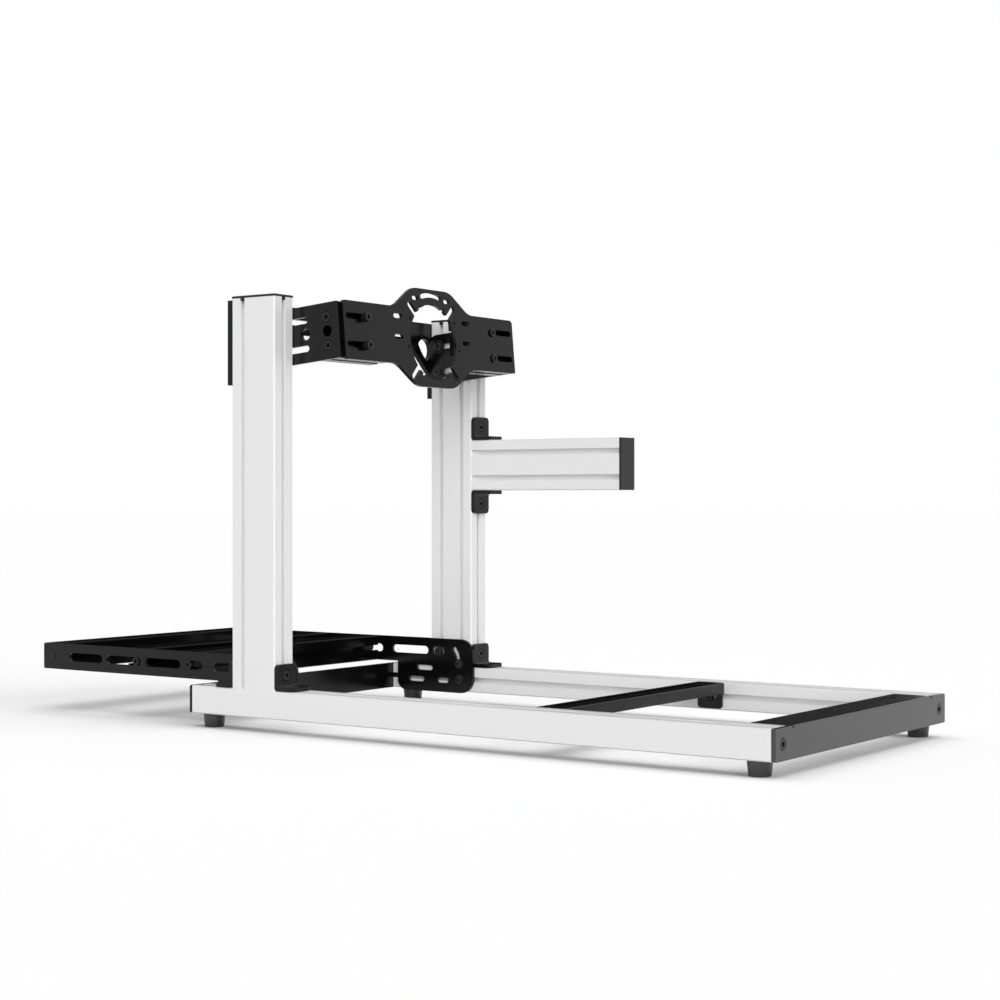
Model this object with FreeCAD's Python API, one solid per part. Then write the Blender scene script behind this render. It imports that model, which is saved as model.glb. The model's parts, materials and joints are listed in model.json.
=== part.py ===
import FreeCAD, Part
import math
import os

os.makedirs("parts", exist_ok=True)
V = FreeCAD.Vector
X = V(1, 0, 0)
Y = V(0, 1, 0)
Z = V(0, 0, 1)

# Sim racing cockpit. X runs rearwards to the driver, Y to the driver's right, Z up.
# Shapes are drawn from the rails' front ends, the centre plane and the rails' underside.

# Slotted extrusion
profile = 40.0
profile_edge = 1.5
slot_mouth = 8.3
slot_lip = 4.5
slot_room = 20.0
slot_side = 2.5
slot_floor = 10.0
slot_depth = 12.2

# Base frame
rail_length = 932.0
overall_width = 511.0
end_plate = 6.0
flange_depth = 50.0
flange_gap = 4.5
flange_slot_setback = 32.0
relief_width = 4.0
relief_depth = 3.0
seat_slot = 8.5
seat_slot_length = 175.0
seat_slot_web = 20.0
foot_height = 20.0
foot_top = 32.0
foot_base = 28.0
foot_inset = 25.0
foot_sides = 32

# Seat crossmember
cross_front = 570.0
cross_width = 44.0
cross_sheet = 4.0
cross_lip = 16.0
cross_slot_setback = 16.0
tab_width = 40.0
tab_drop = 38.0
tab_corner = 5.0
tab_slot = 9.0
tab_slot_length = 22.0

# Uprights, shifter arm and their angle brackets
upright_setback = 77.5
upright_rise = 554.0
cap_height = 3.5
arm_reach = 276.5
arm_drop = 191.5
bracket_leg = 37.0
bracket_foot = 35.0
bracket_sheet = 6.0
bracket_heel = 5.0
bracket_bend = 3.0
bracket_corner = 7.0
bracket_bolt = 21.0

# Wheel mount
mount_tilt = 5.0
mount_setback = 167.0
mount_drop = 47.5
mount_sheet = 5.0
wing_gap = 8.5
wing_height = 83.5
wing_corner = 5.0
wing_slot = 9.0
wing_slot_length = 56.0
wing_slot_inset = 33.0
wing_slot_pitch = 40.0
lobe_height = 146.0
lobe_foot = 92.0
lobe_foot_radius = 36.0
lobe_shoulder = 46.0
lobe_shoulder_radius = 40.0
hub_hole = 112.0
hub_drop = 5.5
cross_slot = 9.5
cross_slot_reach = 23.5
crown_slot = 7.0
crown_slot_margin = 8.3
crown_slot_half_angle = 18.2
shoulder_slot = 6.5
shoulder_slot_length = 15.0
shoulder_slot_place = 38.5
shoulder_slot_height = 58.0
ring_hole = 5.0
ring_hole_margin = 7.0
ring_hole_angles = (31.0, -8.5)
hub_notch = 6.5
hub_notch_margin = 1.5
hub_notch_angle = 60.0
accessory_slot = 7.0
accessory_slot_length = 20.0
accessory_slot_place = 83.0
accessory_slot_heights = (28.0, -2.5)
side_length = 164.5
side_nose = 20.0
side_slot = 9.0
side_slot_length = 96.5
side_slot_start = 14.0
side_slot_pitch = 40.0
side_hole = 16.0
side_hole_setback = 19.0
side_hole_pitch = 40.0
block_length = 110.0
block_chamber = 16.0
block_bore = 7.0

# Brace across the uprights
brace_sheet = 8.0
brace_top_gap = 2.0
brace_bar = 39.5
brace_pad = 121.0
brace_slot = 8.5
brace_slot_length = 150.0
brace_slot_web = 20.0
brace_slot_drop = 21.8
gusset_reach = 50.0
gusset_drop = 47.0
eye_chord = 34.6
eye_crown = 23.0
eye_belly = 2.0
eye_inset = 23.0
eye_drop = 46.8
eye_slope = 49.7
pad_bolt_inset = 20.0

# Pedal deck
pedal_overhang = 357.0
pedal_sheet = 5.0
pedal_clearance = 4.0
pedal_slot = 13.0
pedal_slot_length = 74.0
pedal_slot_start = 56.0
pedal_slot_web = 8.0
pedal_wide_web = 19.5
pedal_last_slot = 24.0
middle_bar = 201.0
rear_bar = 309.0
heel_front = 13.0
heel_rear = 164.0
heel_bottom = -2.0
heel_nose = 16.0
heel_corner = 24.0
heel_slot = 8.5
heel_slot_length = 32.0
heel_slot_inset = 22.0
heel_slot_height = 17.0
heel_slot_gap = 25.0
heel_short_slot = 24.0
heel_bolt_inset = 25.0
pivot_inset = 80.0
pivot_height = 36.0
tilt_radius = 54.0
tilt_start = 8.0
tilt_end = 36.0

# Shared details; repeated small holes and slot ends have few flat sides
bolt_hole = 9.0
bolt_sink = 17.0
sink_sides = 14
small_hole_sides = 8
slot_end_sides = 8
corner_sides = 6
plate_corner = 3.0
edge_break = 1.0
bend_radius = 1.0
fold_edge = 2.0
overcut = 1.0

half = overall_width / 2
inner = half - profile
centre = half - profile / 2
module = profile / 2
upright_depth = 2 * profile
upright_rear = upright_setback + upright_depth
upright_top = profile + upright_rise
arm_bottom = upright_top - arm_drop - upright_depth
middle_x = (rail_length + end_plate - pedal_overhang) / 2
home = V(-middle_x, 0, foot_height)


def save(name, shape):
    solid = shape.removeSplitter()
    solid.translate(home)
    solid.exportStep("parts/" + name + ".step")


def save_pair(name, right):
    save("right_" + name, right)
    save("left_" + name, mirrored(right))


def mirrored(shape):
    return shape.mirror(V(0, 0, 0), Y)


def lay(shape, origin, across, up):
    # Puts the shape's x along across and its y along up.
    turn = FreeCAD.Rotation(across, up, across.cross(up), "ZXY")
    shape.Placement = FreeCAD.Placement(origin, turn) * shape.Placement
    return shape


def drilled(shape, cutters):
    for cutter in cutters:
        shape = shape.cut(cutter)
    return shape


def rounded(corners, height, sides=0):
    # Block on a closed outline of (x, y, radius) corners, each one an arc tangent to its sides,
    # or that many flat sides along the arc.
    spans = []
    for i, (x, y, r) in enumerate(corners):
        p = V(x, y, 0)
        back = V(*corners[i - 1][:2], 0) - p
        ahead = V(*corners[(i + 1) % len(corners)][:2], 0) - p
        back.normalize()
        ahead.normalize()
        turn = back.getAngle(ahead) / 2
        reach = r / math.tan(turn)
        middle = (back + ahead).normalize()
        spans.append((p + back * reach, p + middle * (r / math.sin(turn) - r), p + ahead * reach, r))
    edges = []
    for i, (start, top, end, r) in enumerate(spans):
        arc = Part.Arc(start, top, end).toShape() if r > 0 else None
        if arc and sides:
            edges += Part.makePolygon(arc.discretize(sides + 1)).Edges
        elif arc:
            edges.append(arc)
        edges.append(Part.makeLine(end, spans[(i + 1) % len(spans)][0]))
    return Part.Face(Part.Wire(edges)).extrude(V(0, 0, height))


def cutter(edges, x, y, angle, depth):
    face = Part.Face(Part.Wire(edges))
    face.rotate(V(0, 0, 0), Z, angle)
    face.translate(V(x, y, -overcut))
    return face.extrude(V(0, 0, depth + 2 * overcut))


def oblong(x, y, length, width, depth, angle=0):
    # Slot with round ends.
    r = width / 2
    run = length / 2 - r
    near = [V(-run, r, 0), V(-run - r, 0, 0), V(-run, -r, 0)]
    far = [V(run, -r, 0), V(run + r, 0, 0), V(run, r, 0)]
    edges = [Part.Arc(*near).toShape(), Part.makeLine(near[2], far[0])]
    edges += [Part.Arc(*far).toShape(), Part.makeLine(far[2], near[0])]
    return cutter(edges, x, y, angle, depth)


def light_slot(x, y, length, width, depth):
    # Slot whose ends are half polygons.
    r = width / 2
    run = length / 2 - r
    steps = [math.pi * i / slot_end_sides for i in range(slot_end_sides + 1)]
    far = [V(run + r * math.sin(step), -r * math.cos(step), 0) for step in steps]
    points = far + [-p for p in far]
    return cutter(Part.makePolygon(points + points[:1]).Edges, x, y, 0, depth)


def hole(x, y, diameter, depth):
    return cutter([Part.makeCircle(diameter / 2)], x, y, 0, depth)


def many_sided(diameter, sides, height):
    # Corners of a regular polygon inside a circle, with the first one repeated.
    steps = [2 * math.pi * i / sides for i in range(sides + 1)]
    return [V(diameter / 2 * math.cos(step), diameter / 2 * math.sin(step), height) for step in steps]


def taper(x, y, bottom, low, top, high, sides):
    # Flat-sided cone between the diameters low, at height bottom, and high, at height top.
    base = many_sided(low, sides, bottom)
    roof = many_sided(high, sides, top)
    faces = [Part.Face(Part.makePolygon(ring)) for ring in (base, roof)]
    for i in range(sides):
        faces.append(Part.Face(Part.makePolygon([base[i], base[i + 1], roof[i + 1], roof[i], base[i]])))
    solid = Part.Solid(Part.Shell(faces))
    solid.translate(V(x, y, 0))
    return solid


def light_hole(x, y, diameter, depth):
    return cutter(Part.makePolygon(many_sided(diameter, small_hole_sides, 0)).Edges, x, y, 0, depth)


def sunk_hole(x, y, depth):
    # Bolt hole with a right-angled countersink in the face at z = depth.
    grow = 2 * overcut
    bottom = depth - (bolt_sink - bolt_hole) / 2
    sink = taper(x, y, bottom, bolt_hole, depth + overcut, bolt_sink + grow, sink_sides)
    return light_hole(x, y, bolt_hole, depth).fuse(sink)


def hub_ring_hole(radius, angle, diameter, depth):
    # Small hole at an angle in degrees round the hub's middle.
    turn = math.radians(angle)
    return light_hole(radius * math.cos(turn), radius * math.sin(turn) - hub_drop, diameter, depth)


def arc_slot(x, y, radius, start, end, width, depth):
    # Slot of one width along a circle, between two angles in degrees, with round ends.
    def at(r, angle):
        turn = math.radians(angle)
        return V(r * math.cos(turn), r * math.sin(turn), 0)
    low = radius - width / 2
    high = radius + width / 2
    mid = (start + end) / 2
    tip = math.degrees(width / 2 / radius)
    edges = [Part.Arc(at(low, start), at(low, mid), at(low, end)).toShape()]
    edges.append(Part.Arc(at(low, end), at(radius, end + tip), at(high, end)).toShape())
    edges.append(Part.Arc(at(high, end), at(high, mid), at(high, start)).toShape())
    edges.append(Part.Arc(at(high, start), at(radius, start - tip), at(low, start)).toShape())
    return cutter(edges, x, y, 0, depth)


def eye(x, y, angle, depth):
    # Opening between a full arc and a nearly straight one over the same chord.
    tip = V(eye_chord / 2, 0, 0)
    edges = [Part.Arc(tip, V(0, eye_crown, 0), -tip).toShape()]
    edges.append(Part.Arc(-tip, V(0, -eye_belly, 0), tip).toShape())
    return cutter(edges, x, y, angle, depth)


def t_slot(x, y, angle, length):
    # Slot into the face y = 0, then turned into place: mouth, lips, nut room, narrow floor.
    side = [(slot_mouth / 2, -overcut), (slot_mouth / 2, slot_lip), (slot_room / 2, slot_lip)]
    side += [(slot_room / 2, slot_lip + slot_side), (slot_floor / 2, slot_depth)]
    points = [V(a, b, 0) for a, b in side] + [V(-a, b, 0) for a, b in reversed(side)]
    edges = Part.makePolygon(points + points[:1]).Edges
    return cutter(edges, x, y, angle, length)


def extrusion(modules, length, front=(), back=(), low=False, high=False):
    # front and back hold slot places along the faces y = 0 and y = profile;
    # low and high are the single slots on the faces across the x direction.
    wide = modules * profile
    body = Part.makeBox(wide, profile, length)
    body = body.makeChamfer(profile_edge, [e for e in body.Edges if e.BoundBox.ZLength > length / 2])
    slots = [t_slot(x, 0, 0, length) for x in front]
    slots += [t_slot(x, profile, 180, length) for x in back]
    if low:
        slots.append(t_slot(0, module, -90, length))
    if high:
        slots.append(t_slot(wide, module, 90, length))
    return drilled(body, slots)


def end_cap():
    # Flat cap over an 80 by 40 end, with its outer rim broken.
    block = Part.makeBox(upright_depth, profile, cap_height)
    rim = [e for e in block.Edges if e.BoundBox.ZMin > cap_height / 2]
    return block.makeChamfer(edge_break, rim)


def angle_bracket():
    # Pressed angle: leg up y, foot along x, free corners round, width along z.
    t = bracket_sheet
    high = bracket_leg
    long = bracket_foot
    outline = [(0, 0, bracket_heel), (long, 0, 0), (long, t, 0)]
    outline += [(t, t, bracket_bend), (t, high, 0), (0, high, 0)]

    def free_end(reach):
        ends = [(profile, reach, bracket_corner), (0, reach, bracket_corner)]
        return [(0, 0, 0), (profile, 0, 0)] + ends
    leg = lay(rounded(free_end(high), long, corner_sides), V(long, 0, 0), Z, Y)
    foot = lay(rounded(free_end(long), high, corner_sides), V(0, 0, 0), Z, X)
    leg_hole = lay(sunk_hole(bracket_bolt, module, t), V(0, 0, 0), Y, Z)
    foot_hole = lay(sunk_hole(module, bracket_bolt, t), V(0, 0, 0), Z, X)
    angle = rounded(outline, profile, corner_sides).common(leg).common(foot)
    return drilled(angle, [leg_hole, foot_hole])


def tilted(shape):
    # Wheel mount frame: x = 0 on the plate's rear face, y across, z up the plate from its middle.
    shape.rotate(V(0, 0, 0), Y, -mount_tilt)
    shape.translate(V(upright_setback + mount_setback, 0, upright_top - mount_drop))
    return shape


def base_rail():
    # Slots inside and on top; the outer face and the underside are plain.
    rail = extrusion(1, rail_length, back=(module,), high=True)
    return lay(rail, V(0, half, 0), Z, -Y)


def end_holes(x, across):
    # Sunk holes through a plate into the rails' ends, from its inner face at x.
    holes = [sunk_hole(side * centre, module, end_plate) for side in (-1, 1)]
    return [lay(cut, V(x, 0, 0), across, Z) for cut in holes]


def front_plate():
    outline = [(y, z, plate_corner) for y, z in ((-half, 0), (half, 0), (half, profile), (-half, profile))]
    plate = rounded(outline, end_plate, corner_sides)
    rim = [e for e in plate.Edges if e.BoundBox.ZMin > end_plate / 2]
    return drilled(lay(plate.makeChamfer(edge_break, rim), V(0, 0, 0), -Y, Z), end_holes(0, -Y))


def seat_slots(x, top, sheet):
    slots = []
    for side in (-1, 1):
        place = side * (seat_slot_web + seat_slot_length) / 2
        slot = oblong(x, place, seat_slot_length, seat_slot, sheet, 90)
        slot.translate(V(0, 0, top - sheet))
        slots.append(slot)
    return slots


def rear_plate():
    # Plate over the rail ends with a flange folded forwards between them, relieved at the bend.
    span = inner - flange_gap
    x0 = rail_length
    x1 = rail_length + end_plate
    skin = profile - end_plate
    fold = [(x0 - flange_depth, skin, 0), (x0, skin, bend_radius), (x0, 0, 0), (x1, 0, 0)]
    fold += [(x1, profile, fold_edge), (x0 - flange_depth, profile, 0)]
    plate = lay(rounded(fold, 2 * span, corner_sides), V(0, span, 0), X, Z)
    end = [(span, 0, 0), (half, 0, plate_corner), (half, profile, plate_corner), (span, profile, 0)]
    end = lay(rounded(end, end_plate, corner_sides), V(x0, 0, 0), Y, Z)
    cuts = seat_slots(x0 - flange_slot_setback, profile, end_plate) + end_holes(x0, Y)
    through = relief_depth + end_plate + overcut
    for y in (-span, span - relief_width):
        corner = V(x0 - relief_depth, y, profile - relief_depth)
        cuts.append(Part.makeBox(through, relief_width, relief_depth + overcut, corner))
    return drilled(plate.fuse(end).fuse(mirrored(end)), cuts)


def seat_crossmember():
    # Folded channel with a slotted top and a slotted tab bolted to each rail.
    t = cross_sheet
    x0 = cross_front
    x1 = cross_front + cross_width
    lip = profile - cross_lip
    skin = profile - t
    section = [(x0, lip, 0), (x0 + t, lip, 0), (x0 + t, skin, bend_radius), (x1 - t, skin, bend_radius)]
    section += [(x1 - t, lip, 0), (x1, lip, 0), (x1, profile, fold_edge), (x0, profile, fold_edge)]
    channel = lay(rounded(section, 2 * inner, corner_sides), V(0, inner, 0), X, Z)
    middle = (x0 + x1) / 2
    front = middle - tab_width / 2
    rear = middle + tab_width / 2
    foot = profile - tab_drop
    tab = [(front, foot, tab_corner), (rear, foot, tab_corner), (rear, skin, 0), (front, skin, 0)]
    tab = rounded(tab, t, corner_sides).cut(light_slot(middle, module, tab_slot_length, tab_slot, t))
    tab = lay(tab, V(0, inner, 0), X, Z)
    return drilled(channel.fuse(tab).fuse(mirrored(tab)), seat_slots(x0 + cross_slot_setback, profile, t))


def foot(x):
    # Tapered rubber foot under a rail, with many flat sides.
    return taper(x, centre, -foot_height, foot_base, 0, foot_top, foot_sides)


def upright():
    # Two slots inside, one outside and one on each narrow face.
    post = extrusion(2, upright_rise, front=(module, 3 * module), back=(module,), low=True, high=True)
    return lay(post, V(upright_setback, inner, profile), X, Y)


def shifter_arm():
    wide = (module, 3 * module)
    arm = extrusion(2, arm_reach, front=wide, back=wide, low=True, high=True)
    return lay(arm, V(upright_rear, half, arm_bottom), Z, -Y)


def wheel_plate():
    # Winged plate with a round lobe above and below, a hub hole and its slots.
    t = mount_sheet
    tip = inner - wing_gap
    wing = wing_height / 2
    lobe = lobe_height / 2
    quarter = [(tip, wing, wing_corner), (lobe_foot, wing, lobe_foot_radius)]
    quarter.append((lobe_shoulder, lobe, lobe_shoulder_radius))
    upper = quarter + [(-x, y, r) for x, y, r in reversed(quarter)]
    plate = rounded(upper + [(-x, -y, r) for x, y, r in upper], t)
    hub = hub_hole / 2
    crown = lobe + hub_drop - crown_slot_margin
    cuts = [hole(0, -hub_drop, hub_hole, t)]
    for angle in (45, 135):
        cuts.append(oblong(0, -hub_drop, hub_hole + 2 * cross_slot_reach, cross_slot, t, angle))
    start = 90 - crown_slot_half_angle
    end = 90 + crown_slot_half_angle
    cuts.append(arc_slot(0, -hub_drop, crown, start, end, crown_slot, t))
    ring = [(ring_hole_margin, angle, ring_hole) for angle in ring_hole_angles]
    ring += [(hub_notch_margin, side * hub_notch_angle, hub_notch) for side in (-1, 1)]
    for margin, angle, size in ring:
        cuts.append(hub_ring_hole(hub + margin, angle, size, t))
        cuts.append(hub_ring_hole(hub + margin, 180 - angle, size, t))
    for side in (-1, 1):
        place = side * shoulder_slot_place
        cuts.append(light_slot(place, shoulder_slot_height, shoulder_slot_length, shoulder_slot, t))
        for y in (-wing_slot_pitch / 2, wing_slot_pitch / 2):
            cuts.append(light_slot(side * (tip - wing_slot_inset), y, wing_slot_length, wing_slot, t))
        for y in accessory_slot_heights:
            cuts.append(light_slot(side * accessory_slot_place, y, accessory_slot_length, accessory_slot, t))
    return tilted(lay(drilled(plate, cuts), V(-t, 0, 0), Y, Z))


def wheel_bracket():
    # Flat plate on the upright's inner face, slotted where it is bolted to it.
    nose = -mount_sheet - side_length
    reach = upright_depth / 2
    outline = [(nose, -reach, side_nose), (-mount_sheet, -reach, 0), (-mount_sheet, reach, 0)]
    outline.append((nose, reach, side_nose))
    cuts = []
    for x in (side_hole_setback, side_hole_setback + side_hole_pitch):
        cuts.append(hole(-mount_sheet - x, 0, side_hole, mount_sheet))
    for y in (-side_slot_pitch / 2, side_slot_pitch / 2):
        middle = nose + side_slot_start + side_slot_length / 2
        cuts.append(light_slot(middle, y, side_slot_length, side_slot, mount_sheet))
    bracket = lay(drilled(rounded(outline, mount_sheet), cuts), V(0, inner, 0), X, Z)
    screws = [sunk_hole(mount_sheet + module, y, mount_sheet) for y in (-module, module)]
    return tilted(drilled(bracket, [lay(cut, V(0, inner - mount_sheet, 0), -X, Z) for cut in screws]))


def wheel_block():
    # Short extrusion inside the bracket that carries a wing of the wheel plate, with its core open.
    wide = (module, 3 * module)
    block = extrusion(2, block_length, front=wide, back=wide, low=True, high=True)
    corner = V(profile - block_chamber / 2, module - block_chamber / 2, 0)
    chamber = Part.makeBox(block_chamber, block_chamber, block_length, corner)
    bores = [light_hole(x, module, block_bore, block_length) for x in wide]
    block = drilled(block, [chamber] + bores)
    place = V(-mount_sheet, inner - mount_sheet, -upright_depth / 2)
    return tilted(lay(block, place, Z, -X))


def upright_brace():
    # Pads on the uprights' front faces, a slotted bar and a gusset with a round eye at each end.
    top = upright_top - brace_top_gap
    bar = top - brace_bar
    corners = [(half, top), (half, top - brace_pad), (inner, top - brace_pad)]
    corners += [(inner, bar - gusset_drop), (inner - gusset_reach, bar)]
    corners += [(-y, z) for y, z in reversed(corners)]
    outline = [(y, z, edge_break) for y, z in corners]
    cuts = []
    for side in (-1, 1):
        place = side * (brace_slot_web + brace_slot_length) / 2
        cuts.append(light_slot(place, top - brace_slot_drop, brace_slot_length, brace_slot, brace_sheet))
        for z in (top - pad_bolt_inset, top - brace_pad + pad_bolt_inset):
            cuts.append(light_hole(side * centre, z, bolt_hole, brace_sheet))
    opening = eye(inner - eye_inset, top - eye_drop, -eye_slope, brace_sheet)
    cuts += [opening, opening.mirror(V(0, 0, 0), X)]
    brace = drilled(rounded(outline, brace_sheet, corner_sides), cuts)
    return lay(brace, V(upright_setback - brace_sheet, 0, 0), Y, Z)


def pedal_side_plate():
    # Slotted plate inside the rail: a long bar over the front and a deep heel on the rail's slot.
    t = pedal_sheet
    deck = profile + pedal_clearance
    front = -pedal_overhang
    top = deck + profile
    outline = [(front, deck, plate_corner), (heel_front, deck, edge_break)]
    outline += [(heel_front, heel_bottom, heel_nose), (heel_rear, heel_bottom, heel_corner)]
    outline += [(heel_rear, top, heel_corner), (front, top, plate_corner)]
    cuts = []
    start = front + pedal_slot_start
    runs = [(pedal_slot_length, pedal_slot_web)] * 3
    runs += [(pedal_slot_length / 2, pedal_wide_web), (pedal_slot_length, pedal_slot_web)]
    runs.append((pedal_last_slot, pedal_slot_web))
    for run, web in runs:
        cuts.append(light_slot(start + run / 2, deck + module, run, pedal_slot, t))
        start += run + web
    pivot = heel_rear - pivot_inset
    low_slot = heel_front + heel_slot_inset + heel_slot_length / 2
    next_slot = low_slot + heel_slot_length / 2 + heel_slot_gap + heel_short_slot / 2
    cuts.append(light_slot(pivot - heel_slot_length / 2, pivot_height, heel_slot_length, heel_slot, t))
    cuts.append(light_slot(low_slot, heel_slot_height, heel_slot_length, heel_slot, t))
    cuts.append(light_slot(next_slot, heel_slot_height, heel_short_slot, heel_slot, t))
    cuts.append(arc_slot(pivot, pivot_height, tilt_radius, tilt_start, tilt_end, heel_slot, t))
    cuts.append(light_hole(front + module, deck + module, bolt_hole, t))
    cuts.append(light_hole(heel_rear - heel_bolt_inset, module, bolt_hole, t))
    return lay(drilled(rounded(outline, t), cuts), V(0, inner, 0), X, Z)


def pedal_bar(place):
    # Slotted bar between the side plates, with its middle at a place behind their front ends.
    span = inner - pedal_sheet
    bar = extrusion(1, 2 * span, front=(module,), back=(module,), low=True, high=True)
    return lay(bar, V(place - pedal_overhang - module, -span, profile + pedal_clearance), Z, X)


save_pair("base_rail", base_rail())
save("front_plate", front_plate())
save("rear_plate", rear_plate())
save("seat_crossmember", seat_crossmember())
save_pair("front_foot", foot(foot_inset))
save_pair("rear_foot", foot(rail_length - foot_inset))
save_pair("upright", upright())
save_pair("upright_cap", lay(end_cap(), V(upright_setback, inner, upright_top), X, Y))
save_pair("upright_bracket", lay(angle_bracket(), V(upright_rear, half, profile), X, Z))
save_pair("upright_front_bracket", lay(angle_bracket(), V(upright_setback, inner, profile), -X, Z))
save("shifter_arm", shifter_arm())
save("shifter_arm_cap", lay(end_cap(), V(upright_rear + arm_reach, half, arm_bottom), Z, -Y))
save("arm_upper_bracket", lay(angle_bracket(), V(upright_rear, half, arm_bottom + upright_depth), X, Z))
save("arm_lower_bracket", lay(angle_bracket(), V(upright_rear, inner, arm_bottom), X, -Z))
save("wheel_plate", wheel_plate())
save_pair("wheel_bracket", wheel_bracket())
save_pair("wheel_block", wheel_block())
save("upright_brace", upright_brace())
save_pair("pedal_side_plate", pedal_side_plate())
save("pedal_bar_front", pedal_bar(module))
save("pedal_bar_middle", pedal_bar(middle_bar))
save("pedal_bar_rear", pedal_bar(rear_bar))
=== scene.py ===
import json
import math
import bpy
import numpy as np
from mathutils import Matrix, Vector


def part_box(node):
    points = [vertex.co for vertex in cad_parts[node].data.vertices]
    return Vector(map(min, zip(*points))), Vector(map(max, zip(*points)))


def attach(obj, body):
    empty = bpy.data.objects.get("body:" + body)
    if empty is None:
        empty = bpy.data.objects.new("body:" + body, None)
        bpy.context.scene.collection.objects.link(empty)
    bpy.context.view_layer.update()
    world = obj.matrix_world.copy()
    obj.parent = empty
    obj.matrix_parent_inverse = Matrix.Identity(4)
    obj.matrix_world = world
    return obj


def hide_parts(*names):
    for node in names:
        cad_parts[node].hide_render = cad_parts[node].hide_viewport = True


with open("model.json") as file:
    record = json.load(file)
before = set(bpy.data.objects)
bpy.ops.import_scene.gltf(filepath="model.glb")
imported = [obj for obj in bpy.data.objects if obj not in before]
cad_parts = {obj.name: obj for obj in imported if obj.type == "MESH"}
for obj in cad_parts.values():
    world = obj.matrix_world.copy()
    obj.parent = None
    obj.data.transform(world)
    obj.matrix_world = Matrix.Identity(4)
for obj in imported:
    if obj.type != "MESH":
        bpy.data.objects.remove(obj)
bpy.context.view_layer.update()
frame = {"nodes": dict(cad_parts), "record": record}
print("frame:", len(frame["nodes"]), "solids")

mm = 0.001

# camera: place and far limit in metres, turn and pitch in degrees, focal length and sensor in mm
cameraLook = {"place": (1.7050, -2.3291, 0.33297), "turn": 35.003, "pitch": -0.107,
              "lens": 70.78, "sensor": 36.0, "farLimit": 50.0}


def makeCamera(look):
    data = bpy.data.cameras.new("photoCamera")
    data.lens = look["lens"]
    data.sensor_width = look["sensor"]
    data.clip_end = look["farLimit"]
    camera = bpy.data.objects.new("photoCamera", data)
    camera.location = look["place"]
    camera.rotation_euler = (math.radians(90.0 + look["pitch"]), 0.0, math.radians(look["turn"]))
    bpy.context.scene.collection.objects.link(camera)
    bpy.context.scene.camera = camera


makeCamera(cameraLook)
bpy.context.scene.view_settings.view_transform = "Standard"
print("camera set")


# node helpers

def addNode(tree, kind, **values):
    node = tree.nodes.new(kind)
    for name, value in values.items():
        setattr(node, name, value)
    return node


def feed(tree, socket, value):
    # a value is another node's output, or what the socket holds by itself
    if isinstance(value, bpy.types.NodeSocket):
        tree.links.new(value, socket)
    else:
        socket.default_value = value


def mathNode(tree, operation, *values, clamp=False):
    node = addNode(tree, "ShaderNodeMath", operation=operation, use_clamp=clamp)
    for socket, value in zip(node.inputs, values):
        feed(tree, socket, value)
    return node.outputs[0]


def noiseNode(tree, **values):
    node = addNode(tree, "ShaderNodeTexNoise")
    for name, value in values.items():
        feed(tree, node.inputs[name], value)
    return node.outputs[0]


# finish groups: a pattern in, and a colour, a roughness and a height out
finishInputs = {"Tone": "NodeSocketColor", "Tone Change": "NodeSocketFloat",
                "Roughness": "NodeSocketFloat", "Roughness Change": "NodeSocketFloat"}
finishOutputs = {"Color": "NodeSocketColor", "Roughness": "NodeSocketFloat", "Height": "NodeSocketFloat"}


def newGroup(name, patternInputs):
    tree = bpy.data.node_groups.new(name, "ShaderNodeTree")
    for label, kind in {**patternInputs, **finishInputs}.items():
        tree.interface.new_socket(label, in_out="INPUT", socket_type=kind)
    for label, kind in finishOutputs.items():
        tree.interface.new_socket(label, in_out="OUTPUT", socket_type=kind)
    return tree, tree.nodes.new("NodeGroupInput").outputs, tree.nodes.new("NodeGroupOutput").inputs


def swingFinish(tree, enter, leave, swing, height):
    # tone and roughness swing about their own values with a pattern that is nought on average
    shade = mathNode(tree, "MULTIPLY_ADD", swing, enter["Tone Change"], 1.0)
    tone = addNode(tree, "ShaderNodeVectorMath", operation="SCALE")
    feed(tree, tone.inputs[0], enter["Tone"])
    feed(tree, tone.inputs["Scale"], shade)
    rough = mathNode(tree, "MULTIPLY_ADD", swing, enter["Roughness Change"], enter["Roughness"], clamp=True)
    feed(tree, leave["Color"], tone.outputs[0])
    feed(tree, leave["Roughness"], rough)
    feed(tree, leave["Height"], height)


streaks = {"fine": {"Scale": 1.0, "Detail": 3.0, "Roughness": 0.6}, "cloud": {"Scale": 9.0, "Detail": 2.0},
           "fineShare": 0.6, "average": 0.5}


def drawnGroup(look):
    # streaks left by the die: noise stretched along the bar for the height, and the same
    # blended with a slow cloud for tone and roughness
    tree, enter, leave = newGroup("drawnStreaks", {"Stretch": "NodeSocketVector"})
    place = addNode(tree, "ShaderNodeTexCoord").outputs["Object"]
    stretched = addNode(tree, "ShaderNodeVectorMath", operation="MULTIPLY")
    feed(tree, stretched.inputs[0], place)
    feed(tree, stretched.inputs[1], enter["Stretch"])
    fine = noiseNode(tree, Vector=stretched.outputs[0], **look["fine"])
    cloud = noiseNode(tree, Vector=place, **look["cloud"])
    cloudPart = mathNode(tree, "MULTIPLY", cloud, 1.0 - look["fineShare"])
    blend = mathNode(tree, "MULTIPLY_ADD", fine, look["fineShare"], cloudPart)
    swingFinish(tree, enter, leave, mathNode(tree, "SUBTRACT", blend, look["average"]), fine)
    return tree


grain = {"fine": {"Detail": 2.0, "Roughness": 0.55}, "cloud": {"Detail": 3.0}, "average": 1.0}


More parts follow.
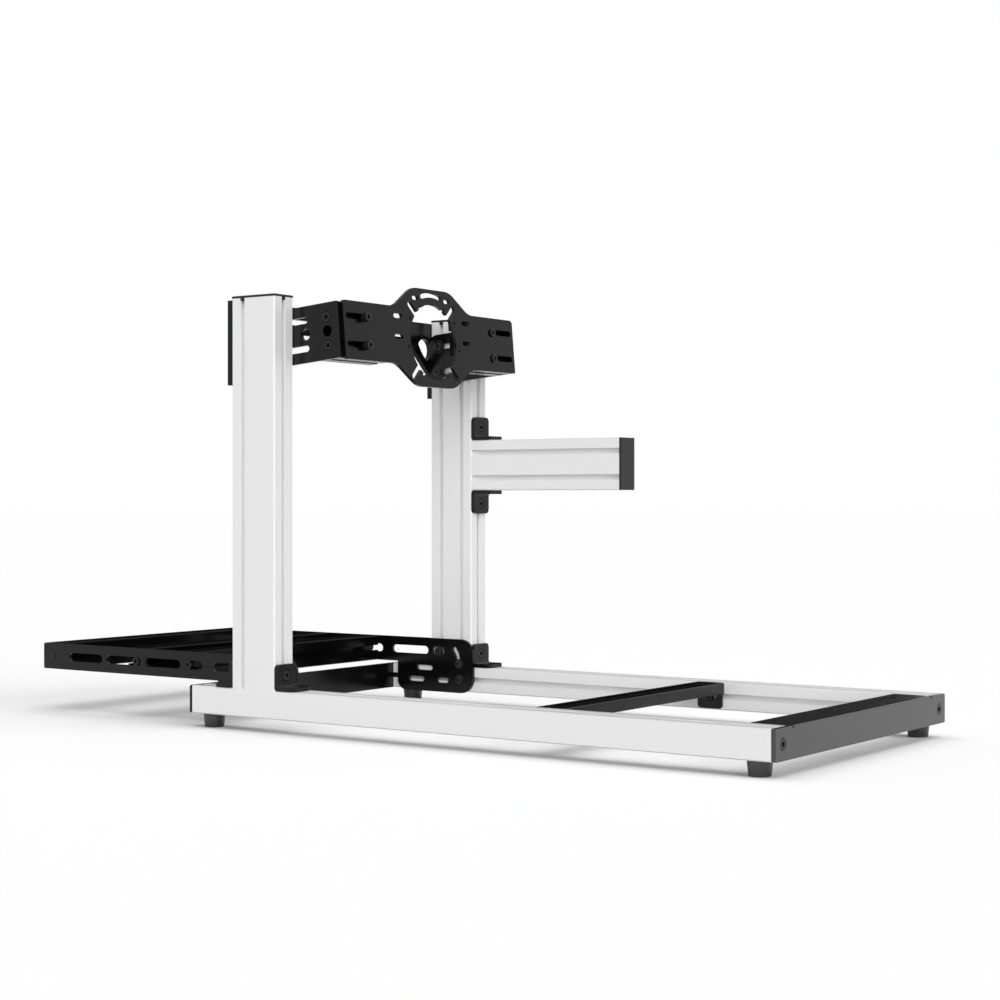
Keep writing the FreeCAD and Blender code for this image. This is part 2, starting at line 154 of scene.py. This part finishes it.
def grainGroup(look):
    # cured coat or moulded grain: fine noise for the height, and the same with a slow cloud added
    # for tone and roughness
    tree, enter, leave = newGroup("coatGrain", {"Grain": "NodeSocketFloat", "Cloud": "NodeSocketFloat"})
    place = addNode(tree, "ShaderNodeTexCoord").outputs["Object"]
    fine = noiseNode(tree, Vector=place, Scale=enter["Grain"], **look["fine"])
    cloud = noiseNode(tree, Vector=place, Scale=enter["Cloud"], **look["cloud"])
    total = mathNode(tree, "ADD", fine, cloud)
    swingFinish(tree, enter, leave, mathNode(tree, "SUBTRACT", total, look["average"]), fine)
    return tree


drawnStreaks = drawnGroup(streaks)
coatGrain = grainGroup(grain)


def finishMaterial(name, group, look):
    # the group gives colour, roughness and height; the rest is set on the shader's own sockets
    material = bpy.data.materials.new(name)
    material.use_nodes = True
    tree = material.node_tree
    shader = tree.nodes["Principled BSDF"].inputs
    pattern = addNode(tree, "ShaderNodeGroup", node_tree=group)
    for socket in pattern.inputs:
        socket.default_value = look[socket.name]
    bump = addNode(tree, "ShaderNodeBump")
    feed(tree, bump.inputs["Strength"], look["bump"])
    feed(tree, bump.inputs["Distance"], look["depth"])
    feed(tree, bump.inputs["Height"], pattern.outputs["Height"])
    feed(tree, shader["Metallic"], look["metallic"])
    feed(tree, shader["Specular IOR Level"], look["specular"])
    feed(tree, shader["Base Color"], pattern.outputs["Color"])
    feed(tree, shader["Roughness"], pattern.outputs["Roughness"])
    feed(tree, shader["Normal"], bump.outputs["Normal"])
    return material


def drawnMaterial(name, look, axis):
    stretch = [look["across"]] * 3
    stretch[axis] = look["along"]
    return finishMaterial(name, drawnStreaks, dict(look, Stretch=stretch))


# satin aluminium, streaked along the bar: x for rails and arm, z for uprights
aluminium = {"along": 3.0, "across": 900.0, "Tone": (0.92, 0.92, 0.92, 1.0), "Tone Change": 0.05,
             "Roughness": 0.44, "Roughness Change": 0.14,
             "bump": 0.08, "depth": 0.04 * mm, "metallic": 0.2, "specular": 0.5}
aluminiumAlongX = drawnMaterial("aluminiumAlongX", aluminium, 0)
aluminiumAlongZ = drawnMaterial("aluminiumAlongZ", aluminium, 2)

# black anodised bar, streaked along y
anodised = dict(aluminium, Tone=(0.002, 0.002, 0.0021, 1.0), Roughness=0.18, metallic=0.0, specular=0.12)
anodisedBar = drawnMaterial("anodisedBar", anodised, 1)

# black plate
powder = {"Grain": 1400.0, "Cloud": 14.0, "Tone": (0.002, 0.002, 0.0021, 1.0), "Tone Change": 0.30,
          "Roughness": 0.19, "Roughness Change": 0.07,
          "bump": 0.20, "depth": 0.12 * mm, "metallic": 0.0, "specular": 0.3}
powderCoat = finishMaterial("powderCoat", coatGrain, powder)

# the rear plate's coat is a shade lighter and glossier
greyPowder = dict(powder, Tone=(0.036, 0.036, 0.0375, 1.0), specular=0.72)
greyPowderCoat = finishMaterial("greyPowderCoat", coatGrain, greyPowder)

moulded = {"Grain": 1100.0, "Cloud": 20.0, "Tone": (0.016, 0.016, 0.017, 1.0), "Tone Change": 0.2,
           "Roughness": 0.36, "Roughness Change": 0.10,
           "bump": 0.25, "depth": 0.12 * mm, "metallic": 0.0, "specular": 0.32}
mouldedCap = finishMaterial("mouldedCap", coatGrain, moulded)

rubber = {"Grain": 800.0, "Cloud": 30.0, "Tone": (0.013, 0.013, 0.0135, 1.0), "Tone Change": 0.3,
          "Roughness": 0.30, "Roughness Change": 0.12,
          "bump": 0.3, "depth": 0.15 * mm, "metallic": 0.0, "specular": 0.8}
footRubber = finishMaterial("footRubber", coatGrain, rubber)

# bolts and washers
oxide = {"Grain": 2200.0, "Cloud": 60.0, "Tone": (0.010, 0.010, 0.0105, 1.0), "Tone Change": 0.4,
         "Roughness": 0.28, "Roughness Change": 0.16,
         "bump": 0.12, "depth": 0.06 * mm, "metallic": 0.0, "specular": 0.35}
blackOxide = finishMaterial("blackOxide", coatGrain, oxide)

finishOfSlot = {"silver_extrusion": aluminiumAlongX, "black_extrusion": anodisedBar,
                "black_steel": powderCoat, "black_cap": mouldedCap, "foot_rubber": footRubber}


def dressNodes():
    for part in frame["record"]["subparts"]:
        node = frame["nodes"][part["node"]]
        material = finishOfSlot[part["material_slot"]]
        if part["node"].endswith("upright"):
            material = aluminiumAlongZ
        if part["node"] == "rear_plate":
            material = greyPowderCoat
        node.data.materials.clear()
        node.data.materials.append(material)


dressNodes()
print("finishes set")


# surfaces: a shape is (points, quads, triangles)
circle, hexagon, toothed = 0, 1, 2  # kinds of ring
creaseAngle = 35.0  # degrees; an edge that turns more stays sharp
nearVertical = 0.9


def ringFaces(rows, sides):
    # quads between neighbouring rings of a grid that closes on itself round the axis
    i = np.arange(rows - 1)[:, None] * sides
    j = np.arange(sides)[None, :]
    k = (j + 1) % sides
    return np.stack((i + j, i + k, i + sides + k, i + sides + j), -1).reshape(-1, 4)


def closedTube(grid, ends):
    # rings of points joined by quads, and each end ring closed by triangles on its own middle point
    rows, sides = grid.shape[:2]
    count = rows * sides
    j = np.arange(sides)
    k = (j + 1) % sides
    low = np.stack((k, j, np.full(sides, count)), -1)
    high = np.stack((count - sides + j, count - sides + k, np.full(sides, count + 1)), -1)
    points = np.concatenate((grid.reshape(-1, 3), ends))
    return points, ringFaces(rows, sides), np.concatenate((low, high))


def anglesRound(sides):
    return np.linspace(0.0, 2 * np.pi, sides, endpoint=False)[None, :]


def aroundZ(reach, height, phi):
    # points at a reach from the z axis and a height on it, for each angle phi
    return np.stack((reach * np.cos(phi), reach * np.sin(phi), height + 0.0 * phi), -1)


def hexReach(phi):
    # polar radius of a hexagon whose flats lie one unit from its middle
    return 1.0 / np.cos((phi + np.pi / 6) % (np.pi / 3) - np.pi / 6)


def turnedSurface(rings, sides, teeth=0, bite=0.0):
    # rings (reach, height, kind) turned about z: a circle, a hexagon by its flats,
    # or a circle with small cosine teeth; both ends close on a middle point
    table = np.array(rings, float)
    phi = anglesRound(sides)
    kind = table[:, 2:3]
    toothReach = 1.0 + bite * np.cos(teeth * phi)
    shape = np.where(kind == hexagon, hexReach(phi), np.where(kind == toothed, toothReach, 1.0))
    ends = np.array(((0.0, 0.0, table[0, 1]), (0.0, 0.0, table[-1, 1])))
    return closedTube(aroundZ(table[:, 0:1] * shape, table[:, 1:2], phi), ends)


def joinShapes(shapes):
    # one shape of several, with their faces numbered on
    points, quads, triangles, start = [], [], [], 0
    for p, q, t in shapes:
        points.append(p)
        quads.append(q + start)
        triangles.append(t + start)
        start += len(p)
    return np.concatenate(points), np.concatenate(quads), np.concatenate(triangles)


def unit(vectors):
    return vectors / np.linalg.norm(vectors, axis=-1, keepdims=True)


def lifted(shape, rise):
    return shape[0] + np.array((0.0, 0.0, rise)), shape[1], shape[2]


def placeCopies(shape, spots):
    # each spot is (place, outward direction, turn in degrees); the shape's z goes along the direction
    points, quads, triangles = shape
    place = np.array([s[0] for s in spots], float)
    out = unit(np.array([s[1] for s in spots], float))
    turn = np.radians(np.array([s[2] for s in spots], float))[:, None]
    vertical = np.abs(out[:, 2:3]) > nearVertical
    aid = np.where(vertical, np.array((1.0, 0.0, 0.0)), np.array((0.0, 0.0, 1.0)))
    side = unit(np.cross(aid, out))
    up = np.cross(out, side)
    across = side * np.cos(turn) + up * np.sin(turn)
    along = up * np.cos(turn) - side * np.sin(turn)
    axes = np.stack((across, along, out), 1)
    cloud = place[:, None, :] + np.einsum("pk,skc->spc", points, axes)
    step = (np.arange(len(spots)) * len(points))[:, None, None]
    allQuads = (quads[None] + step).reshape(-1, 4)
    return cloud.reshape(-1, 3), allQuads, (triangles[None] + step).reshape(-1, 3)


def makePiece(name, shape, material):
    points, quads, triangles = shape
    mesh = bpy.data.meshes.new(name)
    mesh.from_pydata(points.tolist(), [], quads.tolist() + triangles.tolist())
    mesh.polygons.foreach_set("use_smooth", np.ones(len(mesh.polygons), bool))
    mesh.set_sharp_from_angle(angle=math.radians(creaseAngle))
    mesh.materials.append(material)
    mesh.update()
    piece = bpy.data.objects.new(name, mesh)
    bpy.context.scene.collection.objects.link(piece)
    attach(piece, "root")
    return piece


def middleOf(node):
    low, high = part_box(node)
    return [(a + b) / 2 for a, b in zip(low, high)]


# bolt heads: foot and heel are shares of the radius, mouth, lip and tip of half the flats,
# teethMiddle of the height, teethTo and rimBend of the rim
capBolt = {"radius": 6.5 * mm, "height": 5.0 * mm, "sunk": 0.2 * mm, "foot": 0.93, "heel": 0.96,
           "heelRise": 0.15 * mm, "teethFrom": 0.8 * mm, "teethMiddle": 0.55, "teethTo": 2.2, "teeth": 36,
           "bite": 0.014, "rim": 0.6 * mm, "rimBend": 0.3, "flats": 6.0 * mm, "socket": 3.6 * mm,
           "mouth": 1.32, "slope": 0.5 * mm, "point": 0.6 * mm, "sides": 144}
tallBolt = dict(capBolt, height=10.5 * mm)
lowBolt = dict(capBolt, height=3.0 * mm, socket=2.4 * mm)
buttonBolt = {"radius": 7.0 * mm, "height": 4.4 * mm, "sunk": 0.2 * mm, "foot": 0.98, "heelRise": 0.1 * mm,
              "flank": 0.5 * mm, "bends": 5, "bendStep": 20.0, "flats": 5.0 * mm, "socket": 2.6 * mm,
              "mouth": 1.45, "slope": 0.4 * mm, "point": 0.5 * mm, "sides": 48}
lowButton = dict(buttonBolt, radius=5.6 * mm, height=1.6 * mm, flats=4.0 * mm, socket=1.4 * mm)
sunkBolt = {"radius": 7.2 * mm, "rim": 1.0 * mm, "rimEdge": 0.25 * mm, "shank": 4.0 * mm,
            "length": 9.0 * mm, "below": 0.2 * mm, "flats": 6.0 * mm, "socket": 5.5 * mm,
            "mouth": 1.35, "slope": 0.4 * mm, "point": 0.4 * mm, "sides": 48}
socketLip = {"lip": 1.12, "dip": 0.1 * mm, "tip": 0.4}
broadWasher = {"outer": 10.5 * mm, "inner": 4.2 * mm, "thick": 1.8 * mm, "edge": 0.4 * mm, "sides": 48}
plainWasher = {"outer": 8.0 * mm, "inner": 4.2 * mm, "thick": 1.4 * mm, "edge": 0.3 * mm, "sides": 48}


def socketRings(look, top):
    # hexagon socket down from a flat top: round mouth, sloped lip, flats, and a cone at the bottom
    f = look["flats"] / 2
    bottom = top - look["socket"]
    return [(f * look["mouth"], top, circle), (f * socketLip["lip"], top - socketLip["dip"], hexagon),
            (f, top - look["slope"], hexagon), (f, bottom, hexagon),
            (f * socketLip["tip"], bottom - look["point"], circle)]


def capHead(look):
    # cylinder head: narrow foot, toothed flank, rounded rim, hexagon socket
    r, h, b = look["radius"], look["height"], look["rim"]
    bend = look["rimBend"] * b
    rings = [(r * look["foot"], -look["sunk"], circle), (r * look["heel"], look["heelRise"], circle),
             (r, look["teethFrom"], toothed), (r, h * look["teethMiddle"], toothed),
             (r, h - look["teethTo"] * b, toothed), (r, h - b, circle),
             (r - bend, h - bend, circle), (r - b, h, circle)]
    return turnedSurface(rings + socketRings(look, h), look["sides"], look["teeth"], look["bite"])


def domeHead(look):
    # button head: the flank bends over into a flat crown, with a hexagon socket
    r, h, flank = look["radius"], look["height"], look["flank"]
    crown = look["flats"] / 2 * look["mouth"]
    bends = np.radians(np.arange(look["bends"]) * look["bendStep"])
    rings = [(r * look["foot"], -look["sunk"], circle), (r, look["heelRise"], circle)]
    for a in bends:
        rings.append((crown + (r - crown) * math.cos(a), flank + (h - flank) * math.sin(a), circle))
    return turnedSurface(rings + socketRings(look, h), look["sides"])


def sunkHead(look):
    # countersunk head: shank, right-angled cone, upright rim just under the face, deep hexagon socket
    r, root, rim, edge = look["radius"], look["shank"], look["rim"], look["rimEdge"]
    top = -look["below"]
    rings = [(root, top - look["length"], circle), (root, top - rim - (r - root), circle),
             (r, top - rim, circle), (r, top - edge, circle), (r - edge, top, circle)]
    return turnedSurface(rings + socketRings(look, top), look["sides"])


def washerRing(look):
    # flat ring: a rectangle with broken upper corners carried round the axis
    o, i, t, b = look["outer"], look["inner"], look["thick"], look["edge"]
    profile = np.array(((i, 0.0), (o, 0.0), (o, t - b), (o - b, t), (i + b, t), (i, t - b)))
    rows, sides = len(profile), look["sides"]
    grid = aroundZ(profile[:, 0:1], profile[:, 1:2], anglesRound(sides))
    quads = ringFaces(rows + 1, sides) % (rows * sides)
    return grid.reshape(-1, 3), quads, np.zeros((0, 3), int)


def boltOnWasher(washer):
    return joinShapes([washerRing(washer), lifted(domeHead(buttonBolt), washer["thick"])])


def makeFasteners(name, *sets):
    # each set is a shape and the spots that it is copied to
    shape = joinShapes([placeCopies(head, spots) for head, spots in sets])
    makePiece(name, shape, blackOxide)


module = 20.0 * mm  # half a profile, the slots' spacing from an edge
left, right = -1.0, 1.0
lower, upper = -1.0, 1.0

# turns, here and below, are of the key sockets, in degrees
endScrews = {"plates": (("rear_plate", 1.0), ("front_plate", -1.0)), "turns": ((left, 10.0), (right, 40.0))}


def endPlateScrews():
    spots = []
    for node, toward in endScrews["plates"]:
        low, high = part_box(node)
        x = high.x if toward > 0 else low.x
        for side, turn in endScrews["turns"]:
            spots.append(((x, side * (high.y - module), low.z + module), (toward, 0.0, 0.0), turn))
    makeFasteners("endPlateScrews", (sunkHead(sunkBolt), spots))


# angle brackets: node, which way the foot points along x, which way the leg points along z
bracketScrews = {"reach": 21.0 * mm, "sheet": 6.0 * mm, "legTurn": 17.0, "footTurn": 23.0,
                 "brackets": (("left_upright_bracket", 1.0, 1.0), ("right_upright_bracket", 1.0, 1.0),
                              ("left_upright_front_bracket", -1.0, 1.0),
                              ("right_upright_front_bracket", -1.0, 1.0),
                              ("arm_upper_bracket", 1.0, 1.0), ("arm_lower_bracket", 1.0, -1.0))}


def angleBracketScrews():
    spots = []
    look = bracketScrews
    sheet, reach = look["sheet"], look["reach"]
    for k, (node, toward, up) in enumerate(look["brackets"]):
        low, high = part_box(node)
        y = (low.y + high.y) / 2
        post = low.x if toward > 0 else high.x
        seat = low.z if up > 0 else high.z
        legHole = (post + toward * sheet, y, seat + up * reach)
        footHole = (post + toward * reach, y, seat + up * sheet)
        spots.append((legHole, (toward, 0.0, 0.0), look["legTurn"] * k))
        spots.append((footHole, (0.0, 0.0, up), look["footTurn"] * k))
    makeFasteners("angleBracketScrews", (sunkHead(sunkBolt), spots))


# wheel mount: u runs rearwards along the tilt, v up the plate, from the middle of the plate's rear face
wheelMount = {"middle": (-46.0 * mm, 0.0, 566.5 * mm), "tilt": 5.0, "slotRow": 20.0 * mm,
              "tallBolt": 163.5 * mm, "lowBolt": 151.5 * mm, "wingDrop": 1.0 * mm,
              "wingTurn": 12.0, "wingTurnStep": 20.0,
              "blockScrew": -25.0 * mm, "blockTurn": 15.0,
              "postBolts": (-193.0 * mm, -153.0 * mm), "postTurn": 25.0, "postTurnPerMetre": 400.0}
wheelBrackets = (("left_wheel_bracket", left), ("right_wheel_bracket", right))
tilt = math.radians(wheelMount["tilt"])


def mountPoint(u, s, v):
    # u and v turned by the tilt about the y axis, s straight along it
    x, y, z = wheelMount["middle"]
    return x + u * math.cos(tilt) - v * math.sin(tilt), y + s, z + u * math.sin(tilt) + v * math.cos(tilt)


def wingBolts():
    # the left pair stands further out of its slots than the right pair
    sets = []
    away = (math.cos(tilt), 0.0, math.sin(tilt))
    for side, name, look in ((left, "tallBolt", tallBolt), (right, "lowBolt", lowBolt)):
        spots = []
        for row in (lower, upper):
            v = row * wheelMount["slotRow"] - wheelMount["wingDrop"]
            turn = wheelMount["wingTurn"] + wheelMount["wingTurnStep"] * row
            spots.append((mountPoint(0.0, side * wheelMount[name], v), away, turn))
        sets.append((capHead(look), spots))
    makeFasteners("wingBolts", *sets)


def blockScrews():
    # through the bracket's outer face into the wheel block
    spots = []
    for node, side in wheelBrackets:
        low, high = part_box(node)
        y = low.y if side < 0 else high.y
        for row in (lower, upper):
            place = mountPoint(wheelMount["blockScrew"], y, row * wheelMount["slotRow"])
            spots.append((place, (0.0, side, 0.0), wheelMount["blockTurn"] * row))
    makeFasteners("blockScrews", (sunkHead(sunkBolt), spots))


def postBolts():
    # through the bracket's slots into the upright's two inner slots
    spots = []
    for node, side in wheelBrackets:
        low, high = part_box(node)
        y = high.y if side < 0 else low.y
        for x in wheelMount["postBolts"]:
            for row in (lower, upper):
                v = row * wheelMount["slotRow"]
                u = (x - wheelMount["middle"][0] + v * math.sin(tilt)) / math.cos(tilt)
                turn = wheelMount["postTurn"] * row + wheelMount["postTurnPerMetre"] * x
                spots.append((mountPoint(u, y, v), (0.0, -side, 0.0), turn))
    makeFasteners("postBolts", (boltOnWasher(broadWasher), spots))


braceBolts = {"inset": 20.0 * mm, "turn": 11.0}


def bracePadBolts():
    low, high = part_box("upright_brace")
    spots = []
    for side in (left, right):
        for z in (high.z - braceBolts["inset"], low.z + braceBolts["inset"]):
            place = (low.x, side * (high.y - module), z)
            spots.append((place, (-1.0, 0.0, 0.0), braceBolts["turn"] * side))
    makeFasteners("bracePadBolts", (boltOnWasher(plainWasher), spots))


pedalBolts = {"bars": ("pedal_bar_middle", "pedal_bar_rear"), "barTurn": 13.0, "endTurn": 21.0}


def pedalBarBolts():
    # heads down in the side plates' slots, on the bars' ends
    spots = []
    for node in pedalBolts["bars"]:
        x, _, z = middleOf(node)
        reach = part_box(node)[1].y
        for side in (left, right):
            spots.append(((x, side * reach, z), (0.0, side, 0.0), pedalBolts["barTurn"] * side))
    makeFasteners("pedalBarBolts", (capHead(capBolt), spots))


def pedalEndBolts():
    # low heads on the side plates' outer faces, at the front bar
    x, _, z = middleOf("pedal_bar_front")
    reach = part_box("right_pedal_side_plate")[1].y
    spots = []
    for side in (left, right):
        spots.append(((x, side * reach, z), (0.0, side, 0.0), pedalBolts["endTurn"] * side))
    makeFasteners("pedalEndBolts", (domeHead(lowButton), spots))


# heel bolts: along and up from the rails' front ends and undersides
heelPlaces = {"spots": ((97.5 * mm, 64.0 * mm), (137.3 * mm, 44.5 * mm), (139.0 * mm, 20.0 * mm)),
              "turn": 30.0, "turnPerMetre": 500.0}


def heelBolts():
    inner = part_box("right_pedal_side_plate")[0].y
    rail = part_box("right_base_rail")[0]
    spots = []
    for side in (left, right):
        for x, z in heelPlaces["spots"]:
            turn = heelPlaces["turn"] * side + heelPlaces["turnPerMetre"] * x
            spots.append(((rail.x + x, side * inner, rail.z + z), (0.0, -side, 0.0), turn))
    makeFasteners("heelBolts", (boltOnWasher(plainWasher), spots))


crossTab = {"sheet": 4.0 * mm, "drop": 20.0 * mm, "turn": 18.0}


def crossmemberBolts():
    low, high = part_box("seat_crossmember")
    x, z = (low.x + high.x) / 2, high.z - crossTab["drop"]
    spots = []
    for side in (left, right):
        place = (x, side * (high.y - crossTab["sheet"]), z)
        spots.append((place, (0.0, -side, 0.0), crossTab["turn"] * side))
    makeFasteners("crossmemberBolts", (boltOnWasher(plainWasher), spots))


endPlateScrews()
angleBracketScrews()
wingBolts()
blockScrews()
postBolts()
bracePadBolts()
pedalBarBolts()
pedalEndBolts()
heelBolts()
crossmemberBolts()
print("fasteners made")

# feet: a turned rubber body with a round lip at the floor and a screw well underneath
footBody = {"base": 14.0 * mm, "top": 16.0 * mm, "height": 20.0 * mm, "lip": 1.4 * mm, "lipSteps": 4,
            "well": 6.0 * mm, "deep": 9.0 * mm, "wellEdge": 0.4 * mm, "wellMouth": 0.7 * mm,
            "topEdge": 0.5 * mm, "topInset": 0.4 * mm, "sides": 96}


def footShape(look):
    # profile from the well's floor out over the lip and up the tapered flank to the rail
    b, t, h, e, w = look["base"], look["top"], look["height"], look["lip"], look["well"]
    deep, edge, mouth, brim = look["deep"], look["wellEdge"], look["wellMouth"], look["topEdge"]
    rings = [(w - edge, deep, circle), (w, deep - edge, circle), (w, mouth, circle),
             (w + mouth, 0.0, circle), (b - e, 0.0, circle)]
    for a in np.linspace(0.0, np.pi / 2, look["lipSteps"] + 1)[1:]:
        rings.append((b - e + e * math.sin(a), e - e * math.cos(a), circle))
    rings += [(t - brim * (t - b) / h, h - brim, circle), (t - look["topInset"], h, circle)]
    return turnedSurface(rings, look["sides"])


def rubberFeet():
    for node in ("left_front_foot", "right_front_foot", "left_rear_foot", "right_rear_foot"):
        x, y, _ = middleOf(node)
        place = (x, y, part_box(node)[0].z)
        words = node.split("_")
        name = words[0] + words[1].title() + "Rubber"
        shape = placeCopies(footShape(footBody), [(place, (0.0, 0.0, 1.0), 0.0)])
        piece = makePiece(name, shape, footRubber)
        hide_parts(node)


rubberFeet()
print("feet made")


# cap shade plugs: small dark plugs that hang from an upright's cap into the mouths of its slots, painted
# shade that stands in for the shadow the cap casts down the slots
capShadePlug = {"half": 3.95 * mm, "drop": 3.6 * mm, "set": 0.4 * mm, "deep": 4.2 * mm, "round": 1.2 * mm,
             "roundPoints": 7, "edge": 0.3 * mm, "sunk": 0.2 * mm}


def shadePlugShape(look):
    # a rectangle with one round corner, low and outside, carried across the slot, smaller at both ends
    r, drop, face, deep = look["round"], look["drop"], -look["set"], -look["deep"]
    half, edge = look["half"], look["edge"]
    outline = [(look["sunk"], deep), (look["sunk"], face)]
    for a in np.linspace(np.pi / 2, np.pi, look["roundPoints"]):
        outline.append((r - drop + r * math.cos(a), face - r + r * math.sin(a)))
    outline.append((-drop, deep))
    full = np.array(outline)
    middle = (full.min(0) + full.max(0)) / 2
    reach = (full.max(0) - full.min(0)) / 2
    small = middle + (full - middle) * (1.0 - edge / reach)
    rows = ((-half, small), (edge - half, full), (half - edge, full), (half, small))
    grid = np.array([np.column_stack((np.full(len(full), x), ring)) for x, ring in rows])
    return closedTube(grid, np.array([(x, *middle) for x in (-half, half)]))


def capShadePlugs():
    # two slots on the upright's inner face, one on each other face
    spots = []
    for node, side in (("left_upright", left), ("right_upright", right)):
        low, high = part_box(node)
        y = (low.y + high.y) / 2
        inside, outside = (high.y, low.y) if side < 0 else (low.y, high.y)
        places = (((low.x + module, inside), (0.0, -side)), ((high.x - module, inside), (0.0, -side)),
                  ((low.x + module, outside), (0.0, side)),
                  ((low.x, y), (-1.0, 0.0)), ((high.x, y), (1.0, 0.0)))
        spots += [((*place, high.z), (*away, 0.0), 0.0) for place, away in places]
    # the plugs take the black cap finish: painted shade in the slot mouths just under the cap
    makePiece("capShadePlugs", placeCopies(shadePlugShape(capShadePlug), spots), mouldedCap)


capShadePlugs()
print("cap tongues made")


# studio: a white room with a pale floor; the key lamp from beside the camera and the fill lamp from behind
# light the object, and the others the floor. Spread, rise over the floor and compass place are in degrees
studio = {"floor": 60.0, "floorRoughness": 0.9, "floorTone": (0.95, 0.95, 0.95, 1.0),
          "mirrorTone": (0.85, 0.85, 0.85, 1.0), "bounceTone": (0.30, 0.30, 0.30, 1.0),
          "roomTone": (1.0, 1.0, 1.0, 1.0), "sky": 0.20, "bounceGain": 1.28,
          "mirrored": 0.76, "mirrorGain": 1.2}
objectLamps = {"keyLamp": {"power": 3.55, "spread": 60.0, "rise": 12.0, "from": -46.0},
               "fillLamp": {"power": 2.4, "spread": 60.0, "rise": 12.0, "from": 134.0}}
floorLamps = {"lowLamp": {"power": 2.6, "spread": 60.0, "rise": 8.0, "from": 10.0},
              "floorLamp": {"power": 1.55, "spread": 80.0, "rise": 90.0, "from": 0.0},
              "floorDome": {"power": 0.60, "spread": 170.0, "rise": 90.0, "from": 0.0}}


def stageSheet(name, corners, materialName):
    # one flat face with a matt material of its own
    mesh = bpy.data.meshes.new(name)
    mesh.from_pydata(corners, [], [(0, 1, 2, 3)])
    sheet = bpy.data.objects.new(name, mesh)
    bpy.context.scene.collection.objects.link(sheet)
    material = bpy.data.materials.new(materialName)
    material.use_nodes = True
    mesh.materials.append(material)
    return sheet, material.node_tree


def mixedBy(tree, share, first, second):
    mix = addNode(tree, "ShaderNodeMixShader")
    for socket, value in zip(mix.inputs, (share, first, second)):
        feed(tree, socket, value)
    return mix.outputs[0]


def makeFloor():
    # the camera sees one tone, gloss another, and a third limits the light that comes back from it
    half = studio["floor"]
    corners = [(-half, -half, 0.0), (half, -half, 0.0), (half, half, 0.0), (-half, half, 0.0)]
    floor, tree = stageSheet("studioFloor", corners, "paleFloor")
    path = addNode(tree, "ShaderNodeLightPath").outputs
    shown = None
    tones = (("floorTone", None), ("mirrorTone", "Is Glossy Ray"), ("bounceTone", "Is Diffuse Ray"))
    for tone, ray in tones:
        shader = addNode(tree, "ShaderNodeBsdfPrincipled") if ray else tree.nodes["Principled BSDF"]
        feed(tree, shader.inputs["Base Color"], studio[tone])
        feed(tree, shader.inputs["Roughness"], studio["floorRoughness"])
        feed(tree, shader.inputs["Specular IOR Level"], 0.0)
        shown = mixedBy(tree, path[ray], shown, shader.outputs[0]) if ray else shader.outputs[0]
    feed(tree, tree.nodes["Material Output"].inputs["Surface"], shown)
    return floor


def background(tree, strength):
    node = addNode(tree, "ShaderNodeBackground")
    feed(tree, node.inputs["Color"], studio["roomTone"])
    feed(tree, node.inputs["Strength"], strength)
    return node.outputs[0]


def makeSky():
    # the camera sees white; gloss and matt faces each see the room at a level of their own, brighter
    # with every bounce, for the bounces inside the slots that the renderer cuts off
    world = bpy.data.worlds.new("whiteRoom")
    bpy.context.scene.world = world
    world.use_nodes = True
    tree = world.node_tree
    tree.nodes.clear()
    path = addNode(tree, "ShaderNodeLightPath").outputs
    matt = mathNode(tree, "POWER", path["Diffuse Depth"], studio["bounceGain"])
    gloss = mathNode(tree, "POWER", path["Glossy Depth"], studio["mirrorGain"])
    mattRoom = background(tree, mathNode(tree, "MULTIPLY", matt, studio["sky"]))
    glossRoom = background(tree, mathNode(tree, "MULTIPLY", gloss, studio["mirrored"]))
    lit = mixedBy(tree, path["Is Glossy Ray"], mattRoom, glossRoom)
    direct = mathNode(tree, "MAXIMUM", path["Is Camera Ray"], path["Is Transmission Ray"])
    seen = mixedBy(tree, direct, lit, background(tree, 1.0))
    feed(tree, addNode(tree, "ShaderNodeOutputWorld").inputs["Surface"], seen)


def makeLamps(lamps, receivers):
    for name, look in lamps.items():
        data = bpy.data.lights.new(name, "SUN")
        data.energy = look["power"]
        data.angle = math.radians(look["spread"])
        lamp = bpy.data.objects.new(name, data)
        lamp.rotation_euler = (0.0, math.radians(90.0 - look["rise"]), math.radians(look["from"]))
        lamp.visible_glossy = False  # gloss shows the white room alone
        lamp.light_linking.receiver_collection = receivers
        bpy.context.scene.collection.objects.link(lamp)


def floorLink(name, floor, state):
    # a collection that makes a lamp light the floor alone, or all but the floor
    receivers = bpy.data.collections.new(name)
    receivers.objects.link(floor)
    receivers.collection_objects[0].light_linking.link_state = state
    return receivers


# black cloth far behind, seen in gloss alone: it keeps the black tops dark
backFlag = {"away": 6.0, "turn": 125.0, "half": 2.0, "height": 3.4, "tone": (0.01, 0.01, 0.01, 1.0)}


def makeFlag(look):
    a = math.radians(look["turn"])
    x, y = look["away"] * math.cos(a), look["away"] * math.sin(a)
    u, v = -look["half"] * math.sin(a), look["half"] * math.cos(a)
    top = look["height"]
    corners = [(x - u, y - v, 0.0), (x + u, y + v, 0.0), (x + u, y + v, top), (x - u, y - v, top)]
    flag, tree = stageSheet("backFlag", corners, "blackCloth")
    shader = tree.nodes["Principled BSDF"].inputs
    feed(tree, shader["Base Color"], look["tone"])
    feed(tree, shader["Specular IOR Level"], 0.0)
    flag.visible_camera = False
    flag.visible_diffuse = False
    flag.visible_transmission = False
    flag.visible_shadow = False


makeSky()
studioFloor = makeFloor()
makeLamps(objectLamps, floorLink("sparedFloor", studioFloor, "EXCLUDE"))
makeLamps(floorLamps, floorLink("litFloor", studioFloor, "INCLUDE"))
makeFlag(backFlag)
print("studio set")
